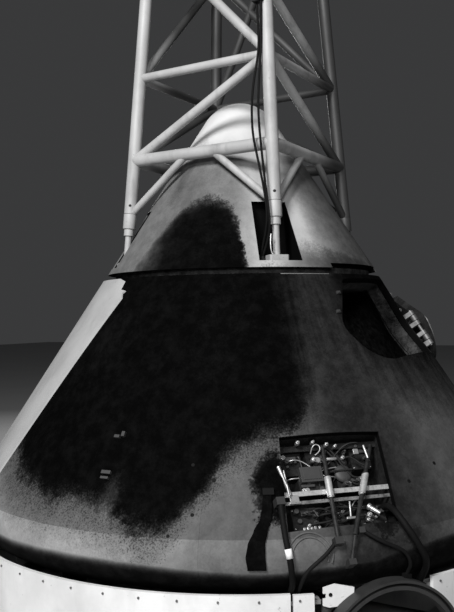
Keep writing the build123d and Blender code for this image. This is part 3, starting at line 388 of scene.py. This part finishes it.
def metal(name, light, rough=0.38, scratch=0.5, tarnish=0.4):
    m = Mat(name, rough=rough, metal=0.85)
    cloud = m.noise(16, 5, 0.65)
    lines = m.noise(30, 3, 0.6, vec=m.scaled(1.0, 1.0, 9.0))
    base = m.mix(m.step(cloud, 0.35, 0.7), light, light * (1 - tarnish))
    base = m.mix(m.step(lines, 0.62, 0.72, 0.0, scratch), base, light * 0.4)
    m.bump(m.noise(140, 3, 0.6), 0.15, 0.0008)
    return m.done(base, m.mix(cloud, rough - 0.1, rough + 0.25))


def charred(name, low=0.004, high=0.05, grain=18.0, depth=0.006):
    m = Mat(name, rough=0.85, spec=0.25)
    n = m.noise(grain, 6, 0.7)
    ash = m.step(m.noise(grain * 3, 4, 0.7), 0.55, 0.75, 0.0, 0.6)
    base = m.mix(m.step(n, 0.35, 0.72), low, high)
    base = m.mix(ash, base, high * 2.0)
    m.bump(n, 0.5, depth)
    m.bump(m.noise(grain * 6, 3, 0.6), 0.3, depth * 0.3)
    return m.done(base, m.mix(n, 0.65, 0.95))


def rubber(name, v=0.012, rough=0.5, rings=0.0):
    m = Mat(name, rough=rough, spec=0.06)
    n = m.noise(40, 4, 0.6)
    dust = m.step(m.noise(12, 5, 0.7), 0.52, 0.78, 0.0, 0.4)
    base = m.mix(dust, m.mix(n, v, v * 1.8), v * 2.6)
    m.bump(n, 0.25, 0.0012)
    return m.done(base, m.mix(n, rough - 0.1, rough + 0.2))


def cloth(name, v=0.02):
    """Burnt webbing: a woven bump across and along."""
    m = Mat(name, rough=0.9, spec=0.03)
    n = m.noise(22, 5, 0.7)
    base = m.mix(m.step(n, 0.4, 0.75), v * 0.5, v * 1.6)
    m.bump(m.noise(260, 2, 0.5, vec=m.scaled(1.0, 1.0, 3.0)), 0.35, 0.0012)
    return m.done(base)


M_CREW = skin("crew_skin", "crew")
M_FWD = skin("forward_skin", "forward")
M_SHIELD = skin("shield_skin", "shield")
M_TOWER = paint("tower_paint", 0.34, 0.04, grime=0.42, rough=0.5, far_side_shade=0.93)
M_COVER = paint("cover_paint", 0.35, 0.08, grime=0.20, rough=0.5, fine=55)
M_RING = paint("ring_paint", 0.66, 0.15, grime=0.12, rough=0.45, fine=30)
M_RING_IN = paint("ring_inside", 0.16, 0.04, grime=0.5, rough=0.6)
M_ARCH = paint("arch_paint", 0.022, 0.006, grime=0.5, rough=0.5)
M_LUG = paint("lug_paint", 0.016, 0.005, grime=0.5, rough=0.6)
M_BOX = paint("box_paint", 0.030, 0.010, grime=0.5, rough=0.55, fine=60)
M_DARK = charred("burnt_inside")
M_BAYIN = charred("burnt_bay", 0.002, 0.014, 26, 0.004)
M_ALU = metal("bare_metal", 0.55)
# the rails by the open bay's middle are brighter than the one at its top
_m = Mat("rail_metal", rough=0.4, metal=0.6)
_y = _m.add(_m.add(_m.mul(_m.x, BY.x), _m.mul(_m.y, BY.y)), _m.sub(_m.mul(_m.z, BY.z), BO.dot(BY)))
_w = _m.step(_m.noise(26, 5, 0.7), 0.38, 0.66)
_c = _m.mix(_m.step(_y, -0.050, -0.058), _m.mix(_w, 0.60, 0.26), _m.mix(_w, 0.30, 0.05))
M_RAIL = _m.done(_m.mix(_m.step(_y, 0.10, 0.11), _c, 0.02), _m.mix(_w, 0.35, 0.6))
M_TUBE = metal("strut_metal", 0.10, rough=0.5, scratch=0.5, tarnish=0.7)
# the struts' sleeves stay brighter than their bars
_m = Mat("sleeve_metal", rough=0.45, metal=0.7)
_y = _m.add(_m.add(_m.mul(_m.x, BY.x), _m.mul(_m.y, BY.y)), _m.sub(_m.mul(_m.z, BY.z), BO.dot(BY)))
_on = _m.mul(_m.step(_y, -0.074, -0.072), _m.step(_y, 0.052, 0.050))
_w = _m.step(_m.noise(22, 5, 0.7), 0.35, 0.7)
M_STRUT = _m.done(_m.mix(_on, _m.mix(_w, 0.06, 0.012), _m.mix(_w, 0.78, 0.36)), _m.mix(_w, 0.38, 0.6))
M_STEEL = metal("dull_metal", 0.22, rough=0.5)
M_BLACK = rubber("black_rubber")
M_CABLE = rubber("cable_cover", 0.0035, 0.6)
M_HOSE = rubber("hose_cover", 0.005, 0.55)
M_TAPE = paint("white_tape", 0.70, 0.30, grime=0.25, rough=0.6)
M_STRAP = cloth("burnt_webbing", 0.0022)

BY_NODE = {
    "crew_cone": M_CREW, "hatch_surround": M_CREW, "bay_surround": M_CREW, "forward_cone": M_FWD, "aft_heat_shield": M_SHIELD,
    "left_cover_panel": M_COVER, "right_cover_panel": M_COVER,
    "ring_panels": M_RING, "notched_plate": M_RING, "ring_top_frame": M_RING_IN, "ring_middle_frame": M_RING_IN,
    "ring_bottom_flange": M_RING_IN, "ring_beams": M_RING_IN, "support_pads": M_BLACK,
    "umbilical_arch": M_ARCH, "arch_web": M_DARK,
    "cabin_floor_roof": M_DARK, "cabin_wall": M_DARK, "cabin_hatch_wall": M_DARK, "crew_couches": M_DARK,
    "couch_struts": M_STEEL, "instrument_panel": M_DARK, "equipment_lockers": M_DARK, "forward_deck": M_DARK,
    "hatch_frame": M_DARK, "bay_liner": M_BAYIN, "bay_units": M_BAYIN, "bay_rails": M_RAIL, "bay_struts": M_STRUT,
    "bay_lugs": M_LUG, "line_glands": M_CABLE, "tower_cable_sockets": M_BLACK, "webbing_strap": M_STRAP,
    "hatch_door": M_CREW, "hatch_latch_frame": M_STEEL, "hatch_hinge_arms": M_STEEL, "hinge_posts": M_STEEL,
}
for name, o in N.items():
    m = BY_NODE.get(name) or (M_TOWER if name.startswith("tower") else M_CABLE if name.startswith(("cable", "hose")) else M_STEEL)
    o.data.materials.clear()
    o.data.materials.append(m)
# small rounded edges where the light catches them
for name, w in (("bay_units", 0.003), ("ring_panels", 0.002), ("left_cover_panel", 0.0015), ("right_cover_panel", 0.0015),
                ("notched_plate", 0.0015), ("bay_lugs", 0.002), ("bay_rails", 0.001), ("umbilical_arch", 0.003), ("crew_couches", 0.01)):
    b = N[name].modifiers.new("edges", "BEVEL")
    b.width, b.segments, b.limit_method, b.angle_limit = w, 2, "ANGLE", radians(35)

glass = Mat("sooty_glass", rough=0.25, spec=0.6)
gn = glass.noise(9, 5, 0.65)
glass.bump(glass.noise(30, 3, 0.5), 0.1, 0.001)
M_GLASS = glass.done(glass.mix(gn, 0.004, 0.03), glass.mix(gn, 0.12, 0.5))
for n in ("hatch_window",):
    N[n].data.materials.clear()
    N[n].data.materials.append(M_GLASS)

# ---- loose lines --------------------------------------------------------------------------


def soft_line(node, pts, dia, mat):
    """A loose cord along its route's points."""
    cu = bpy.data.curves.new(node + "_line", "CURVE")
    cu.dimensions = "3D"
    sp = cu.splines.new("NURBS")
    sp.points.add(len(pts) - 1)
    for q, v in zip(sp.points, pts):
        q.co = (v.x, v.y, v.z, 1.0)
    sp.order_u = 3
    sp.use_endpoint_u = True
    sp.resolution_u = 10
    cu.bevel_depth = dia / 2
    cu.bevel_resolution = 4
    cu.use_fill_caps = True
    cu.materials.append(mat)
    o = bpy.data.objects.new(node + "_line", cu)
    scene.collection.objects.link(o)
    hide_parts(node)
    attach(o, "capsule")
    return o


def mm(r, az, z):
    return pol(r / 1000, az, z / 1000)


R_TAPED = [bay(*q) for q in ((-369, -101, 8), (-371, -165, 4), (-374, -222, 1), (-377, -289, 2), (-371, -351, -10), (-364, -404, -36),
                             (-357, -444, -70))] + [mm(1950, -53.4, 702), mm(1913, -53.5, 664), mm(1897, -53.5, 634)]
R_THIN = [bay(*q) for q in ((-122, -326, 16), (-168, -369, -1), (-222, -402, -24), (-268, -429, -52))] + [
    mm(1968, -51.8, 744), mm(1946, -52.15, 702), mm(1913, -52.3, 662), mm(1897, -52.3, 634)]
R_RIGHT = [bay(*q) for q in ((45, -280, 20), (88, -318, 24), (157, -354, 14))] + [
    mm(1983, -36.6, 848), mm(1985, -35.4, 818), mm(1982, -34.7, 778), mm(1968, -34.3, 740), mm(1946, -34.2, 712), mm(1931, -34.2, 684)]
R_BUNDLE = [bay(*q) for q in ((246, -130, -129), (246, -132, -70), (247, -157, -9), (252, -207, 33), (267, -268, 52), (296, -325, 46),
                              (330, -376, 22), (366, -418, -16), (397, -446, -66))] + [
    mm(1958, -31.1, 707), mm(1920, -30.8, 660), mm(1884, -30.8, 606)]


def leg_line(pts):
    """Points beside the front leg: (x, y, z) in millimetres from the leg's middle at that height."""
    return [leg_pt(0, z / 1000) + Vector((x, y, 0)) / 1000 for x, y, z in pts]


R_OUTER = leg_line(((-37, 51, 4146), (-43, 45, 3990), (-48, 41, 3860), (-49, 59, 3742), (-73, 85, 3576), (-91, 94, 3406), (-99, 88, 3237),
                    (-96, 64, 3102), (-92, 37, 2948), (-82, 21, 2812), (-64, 24, 2701), (-40, 52, 2606), (-20, 88, 2520), (-6, 116, 2441)))
R_INNER = leg_line(((-58, 8, 4146), (-59, 14, 4007), (-55, 20, 3877), (-67, 35, 3671), (-85, 46, 3467), (-94, 41, 3298), (-99, 30, 3163),
                    (-103, 17, 3010), (-102, 6, 2865), (-90, -2, 2740), (-66, 6, 2640), (-48, 32, 2562), (-40, 62, 2494), (-38, 84, 2441)))
soft_line("cable_taped", R_TAPED, 0.032, M_CABLE)
soft_line("hose_thin", R_THIN, 0.020, M_HOSE)
soft_line("hose_right", R_RIGHT, 0.020, M_HOSE)
soft_line("cable_bundle", R_BUNDLE, 0.036, M_CABLE)
soft_line("cable_tower_outer", R_OUTER, 0.016, M_CABLE)
soft_line("cable_tower_inner", R_INNER, 0.016, M_CABLE)

# strap: (middle, half width, height) beside azimuth -57.2, lying on the wall and its shoulder
STRAP = ((18, 24, 1131), (14, 26, 1073), (3, 30, 1016), (-27, 36, 961), (-51, 43, 905), (-57, 48, 849), (-50, 46, 786))


def strap_mesh():
    rows, cols = 48, 12
    bm = bmesh.new()
    grid = []
    for i in range(rows + 1):
        u = i / rows * (len(STRAP) - 1)
        k = min(int(u), len(STRAP) - 2)
        f = u - k
        f2 = f * f * (3 - 2 * f) * 0.5 + f * 0.5
        c, w, z = (STRAP[k][j] + (STRAP[k + 1][j] - STRAP[k][j]) * (f if j == 2 else f2) for j in range(3))
        row = []
        for j in range(cols + 1):
            v = j / cols * 2 - 1
            ragged = 0.0015 * mnoise.noise(Vector((i * 0.35, v * 3.0, 2.0))) * 1.5
            x = c + w * v
            q, n = shell(-57.2 + degrees(x / 1000 / 1.88), z / 1000, 0.0105 + ragged + 0.0012 * (v * v))
            row.append(bm.verts.new(q))
        grid.append(row)
    for i in range(rows):
        for j in range(cols):
            bm.faces.new((grid[i][j], grid[i + 1][j], grid[i + 1][j + 1], grid[i][j + 1])).smooth = True
    me = bpy.data.meshes.new("strap")
    bm.to_mesh(me)
    bm.free()
    return me


strap = link("strap_cloth", strap_mesh(), M_STRAP)
so = strap.modifiers.new("thick", "SOLIDIFY")
so.thickness, so.offset = 0.002, 0.0
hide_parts("webbing_strap")
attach(strap, "capsule")

# ---- small hard pieces ---------------------------------------------------------------------
UP = Vector((0, 0, 1))


class Kit:
    """Many small hard pieces joined in one mesh."""

    def __init__(s):
        s.bm = bmesh.new()

    def box(s, c, ax, ay, size):
        ax = ax.normalized()
        n = ax.cross(ay).normalized()
        ay = n.cross(ax)
        m = Matrix((ax * size[0], ay * size[1], n * size[2])).transposed().to_4x4()
        m.translation = c
        bmesh.ops.create_cube(s.bm, size=1.0, matrix=m)

    def rod(s, a, b, r, n=14, r2=None):
        d = b - a
        m = Matrix.Translation((a + b) / 2) @ d.to_track_quat("Z", "Y").to_matrix().to_4x4()
        v = bmesh.ops.create_cone(s.bm, cap_ends=True, segments=n, radius1=r, radius2=r if r2 is None else r2, depth=d.length, matrix=m)["verts"]
        for f in {f for q in v for f in q.link_faces}:
            f.smooth = n > 6 and len(f.verts) == 4

    def disc(s, c, n, r, t, sides=14):
        n = n.normalized()
        s.rod(c - n * 0.002, c + n * t, r, sides, r * 0.86)

    def dome(s, c, n, r, flat=0.5):
        n = n.normalized()
        q = n.to_track_quat("Z", "Y").to_matrix().to_4x4()
        m = Matrix.Translation(c) @ q @ Matrix.Diagonal((r, r, r * flat, 1))
        v = bmesh.ops.create_uvsphere(s.bm, u_segments=18, v_segments=10, radius=1.0, matrix=m)["verts"]
        for f in {f for q in v for f in q.link_faces}:
            f.smooth = True

    def done(s, name, mat, bevel=0.0012, body="capsule"):
        me = bpy.data.meshes.new(name)
        s.bm.to_mesh(me)
        s.bm.free()
        o = link(name, me, mat)
        if bevel:
            b = o.modifiers.new("edges", "BEVEL")
            b.width, b.segments, b.limit_method, b.angle_limit = bevel, 2, "ANGLE", radians(40)
        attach(o, body)
        return o


def pipes(name, lines, r, mat, body="capsule"):
    cu = bpy.data.curves.new(name, "CURVE")
    cu.dimensions = "3D"
    cu.bevel_depth = r
    cu.bevel_resolution = 3
    cu.use_fill_caps = True
    for pts in lines:
        sp = cu.splines.new("NURBS")
        sp.points.add(len(pts) - 1)
        for q, v in zip(sp.points, pts):
            q.co = (v[0], v[1], v[2], 1.0)
        sp.order_u = min(3, len(pts))
        sp.use_endpoint_u = True
        sp.resolution_u = 6
    cu.materials.append(mat)
    o = bpy.data.objects.new(name, cu)
    scene.collection.objects.link(o)
    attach(o, body)
    return o


# bay: what stands on the units and between them (x, y, depth under the wall's plane)
UNITS = ((-205, 180, 130, 150, 150), (-60, 190, 110, 130, 140), (75, 185, 120, 150, 160), (215, 190, 120, 150, 145), (-190, -140, 150, 120, 150),
         (0, -150, 130, 110, 170), (190, -160, 150, 110, 125), (-120, 30, 150, 90, 120), (120, 25, 170, 80, 130))
dark, bright = Kit(), Kit()
for x, y, w, h, d in UNITS:
    for i in range(4):
        cx, cy = x + (w / 2 - 10) * (1 if i % 2 else -1), y + (h / 2 - 10) * (1 if i > 1 else -1)
        bright.disc(bay(cx, cy, -d), BN, 0.0045, 0.004, 6)
    for i in range(5):
        px, py = x + RND.uniform(-0.38, 0.38) * w, y + RND.uniform(-0.36, 0.36) * h
        rr, t = RND.uniform(0.008, 0.019), RND.uniform(0.012, 0.045)
        k = dark if RND.random() < 0.62 else bright
        k.disc(bay(px, py, -d), BN, rr, t)
        if RND.random() < 0.6:
            k.disc(bay(px, py, -d + t * 1000), BN, rr * 0.6, 0.012)
    dark.box(bay(x + RND.uniform(-0.2, 0.2) * w, y + RND.uniform(-0.3, 0.3) * h, -d + 8), BX, BY,
             (RND.uniform(0.3, 0.6) * w / 1000, RND.uniform(0.15, 0.3) * h / 1000, 0.018))
# fittings seen between the rails and the bay's upper edge
for x, y, d, r, t in ((-173, 262, 78, 13, 26), (-83, 262, 78, 11, 22), (-8, 240, 74, 12, 24), (43, 229, 74, 10, 20), (-99, 161, 84, 15, 26),
                      (74, 161, 84, 12, 22), (122, -204, 60, 11, 20), (88, -232, 52, 9, 16), (-212, -205, 66, 10, 18)):
    bright.disc(bay(x, y, -d), BN, r / 1000, t / 1000)
    bright.disc(bay(x, y, -d + t), BN, r / 1600, 0.010, 6)
    dark.rod(bay(x, y, -150), bay(x, y, -d), r / 1500)
bright.box(bay(161, 191, -70), BX, BY, (0.030, 0.030, 0.012))
dark.rod(bay(161, 191, -150), bay(161, 191, -76), 0.008)
bright.rod(bay(-20, 160, -74), bay(36, 160, -74), 0.009)
dark.rod(bay(6, 160, -150), bay(6, 160, -80), 0.007)
bright.rod(bay(221, 229, -76), bay(230, 132, -76), 0.007)
dark.dome(bay(72, 84, -112), BN, 0.052, 0.4)
dark.box(bay(-124, 84, -100), BX, BY, (0.128, 0.086, 0.040))
dark.box(bay(-124, 84, -82), BX, BY, (0.100, 0.060, 0.012))
# bracket at the left end of the rails, and the thin bright edge beside the bay
bright.box(bay(-262, -58, -60), BX, BY, (0.050, 0.044, 0.012))
bright.box(bay(-262, -78, -66), BX, BY, (0.062, 0.010, 0.024))
bright.rod(bay(-298, 99, -34), bay(-296, -47, -34), 0.0045)
bright.rod(bay(-330, 118, -20), bay(-282, -36, -50), 0.010)
# T bracket, white fitting and tabs along the lower edge
bright.rod(bay(48, -92, -64), bay(34, -176, -64), 0.0055)
bright.box(bay(34, -182, -64), BX, BY, (0.052, 0.012, 0.014))
bright.rod(bay(160, -132, -70), bay(200, -176, -50), 0.013)
bright.rod(bay(150, -122, -74), bay(162, -134, -68), 0.018)
for x, y in ((-252, -231), (-232, -229), (-212, -231), (-192, -229), (-168, -230)):
    bright.box(bay(x, y, -34), BX, BY, (0.012, 0.020, 0.014))
    dark.rod(bay(x, y - 14, -48), bay(x, y + 4, -46), 0.008)
bright.done("bay_bright_fittings", M_ALU)
dark.done("bay_dark_fittings", M_BOX)
lines = []
for i in range(20):
    x0, x1 = RND.uniform(-260, 260), RND.uniform(-260, 260)
    y0, y1 = (RND.uniform(90, 255), RND.uniform(-10, 120)) if i % 2 else (RND.uniform(-210, -90), RND.uniform(-190, -20))
    d = RND.uniform(84, 118)
    lines.append([bay(x0, y0, -150), bay(x0, y0, -d), bay(x0 + (x1 - x0) * 0.3, y0, -d + RND.uniform(-8, 8)),
                  bay(x0 + (x1 - x0) * 0.7, y1, -d + RND.uniform(-8, 8)), bay(x1, y1, -d), bay(x1, y1, -150)])
pipes("bay_pipes_dark", lines[:12], 0.0055, M_BLACK)
pipes("bay_pipes_bright", lines[12:17], 0.0045, M_TUBE)
pipes("bay_pipes_thin", lines[17:] + [[bay(-98, 206, -96), bay(-92, 244, -66), bay(-52, 248, -62), bay(-44, 208, -66), bay(-74, 196, -92)]], 0.0035, M_ALU)

# plate with two rims on the shoulder, under the bay
rim = []
for rr in (0.118, 0.096):
    pts = []
    for i in range(29):
        t = radians(-20 + 220 * i / 28)
        zz = 0.842 + rr * sin(t) * 0.92
        pts.append(shell(-50.7 + degrees(rr * cos(t) / 1.93), zz, 0.003)[0])
    rim.append(pts)
pipes("shoulder_plate_rims", rim, 0.005, M_SHIELD)

# wall: bolt heads, lugs and the bright edge under the seam
k = Kit()
for az, z, r in ((-21.7, 1.200, 11), (-29.8, 1.136, 11), (-69.7, 1.265, 11), (-68.9, 1.035, 11), (-72.4, 0.938, 10), (-65.7, 1.196, 12),
                 (-117.6, 2.061, 8), (30, 1.2, 11), (62, 1.13, 11), (98, 1.2, 11), (130, 1.12, 11), (168, 1.2, 11), (-160, 1.13, 11), (-128, 1.2, 11)):
    q, n = shell(az, z)
    k.disc(q, n, r / 1000, 0.003)
k.done("wall_plugs", M_CABLE, 0)
k = Kit()
for az, z, w, h in ((-86.3, 1.205, 0.060, 0.020), (-86.3, 1.178, 0.050, 0.014), (-86.5, 1.386, 0.034, 0.018), (-85.2, 1.40, 0.020, 0.03)):
    q, n, t, u = wall(az, z, 0.008)
    k.box(q, t, u, (w, h, 0.020))
for az, z in ((-26.7, 2.198), (-30.0, 2.078), (26.7, 2.198), (30.0, 2.078)):
    q, n, t, u = wall(az, z, 0.006)
    k.box(q, t, u, (0.026, 0.020, 0.016))
    k.disc(q + n * 0.008, n, 0.007, 0.006, 6)
k.done("wall_lugs", M_BOX)
pipes("seam_edge", [[wall(-46.5 + i * 0.97, 2.3235, 0.001)[0] for i in range(21)]], 0.0028, M_ALU)

# tape on the cable beside the bay
k = Kit()
c = (R_TAPED[3] + R_TAPED[4] * 6 + R_TAPED[5]) / 8
d = (R_TAPED[5] - R_TAPED[3]).normalized()
k.rod(c - d * 0.024, c + d * 0.024, 0.0182, 20)
k.done("cable_tape", M_TAPE, 0)

# tower: foot sleeves, black discs as painted shade for holes, and dark bands, on each leg
k = Kit()
for i in range(4):
    a, b = leg_pt(i, 2.7005), leg_pt(i, 2.806)
    k.rod(a, b, 0.0453, 40)
k.done("leg_sleeves", M_TOWER, 0.0015)
k = Kit()
view = Vector((-0.859, -0.512, 0.0))
for i in range(4):
    q = leg_pt(i, 2.866)
    o = view if i in (0, 3) else q.normalized()
    k.disc(q + o * 0.0440, o, 0.011, 0.0015)
    k.rod(leg_pt(i, 2.8058), leg_pt(i, 2.8082), 0.0456, 40)
k.done("leg_marks", M_BLACK, 0)

# front well: thin bent wire beside the bolt post
c = leg_pt(0, 2.50)
X45, N45 = Vector((cos(radians(-45)), sin(radians(-45)), 0)), pol(1, -45)
pipes("well_wire", [[c + X45 * -0.052 + N45 * 0.05 + UP * 0.085, c + X45 * -0.060 + N45 * 0.055 + UP * 0.02, c + X45 * -0.052 + N45 * 0.06 - UP * 0.045,
                     c + X45 * -0.020 + N45 * 0.065 - UP * 0.07, c + X45 * 0.010 + N45 * 0.06 - UP * 0.072]], 0.0045, M_ALU)

# carrier ring: rows of bolt heads
R_OUT = max(hypot(v.co.x, v.co.y) for v in N["ring_panels"].data.vertices)
k = Kit()
for z, step, r in ((0.622, 6.1, 0.0075), (0.341, 6.1, 0.0075), (0.040, 6.1, 0.009)):
    for i in range(59):
        az = -64.6 + i * step
        if -50.5 < az < -28 or -50.5 < az - 360 < -28:
            continue
        k.disc(pol(R_OUT, az, z), pol(1, az), r, 0.005, 6)
k.done("ring_bolts", M_STEEL, 0)
vs = [v.co for v in N["notched_plate"].data.vertices]
az0, az1 = min(degrees(atan2(v.x, -v.y)) for v in vs), max(degrees(atan2(v.x, -v.y)) for v in vs)
z0, z1 = min(v.z for v in vs), max(v.z for v in vs)
# painted shade: a black disc on the notched plate stands for a hole
k = Kit()
k.disc(pol(max(hypot(v.x, v.y) for v in vs) - 0.001, az0 + (az1 - az0) * 0.24, z0 + (z1 - z0) * 0.55), pol(1, (az0 + az1) / 2), 0.011, 0.003)
k.done("plate_hole", M_CABLE, 0)

# ---- floor and light ----------------------------------------------------------------------
bpy.ops.mesh.primitive_plane_add(size=80, location=(0, 0, 0))
floor = bpy.context.object
floor.name = "floor"
fm = Mat("floor_paint", rough=0.8, spec=0.2)
floor.data.materials.append(fm.done(fm.mix(fm.noise(0.6, 3, 0.5), 0.30, 0.34)))
world = bpy.data.worlds.new("world")
scene.world = world
world.use_nodes = True
world.node_tree.nodes["Background"].inputs[0].default_value = (0.82, 0.83, 0.85, 1)
world.node_tree.nodes["Background"].inputs[1].default_value = 0.05


def lamp(name, at, to, size, power):
    d = bpy.data.lights.new(name, "AREA")
    d.shape = "DISK"
    d.size = size
    d.energy = power
    o = bpy.data.objects.new(name, d)
    scene.collection.objects.link(o)
    o.location = at
    o.rotation_euler = (Vector(to) - Vector(at)).to_track_quat("-Z", "Y").to_euler()


# key light from the upper left of the view, weaker fill from its right
lamp("key", (-9.2, -1.2, 8.4), (0, 0, 2.2), 3.0, 1650)
lamp("fill", (-7.6, -4.6, 4.4), (0, 0, 2.4), 2.0, 300)
lamp("back", (8, 6, 6), (0, 0, 2.6), 4.0, 420)
scene.view_settings.view_transform = "Standard"
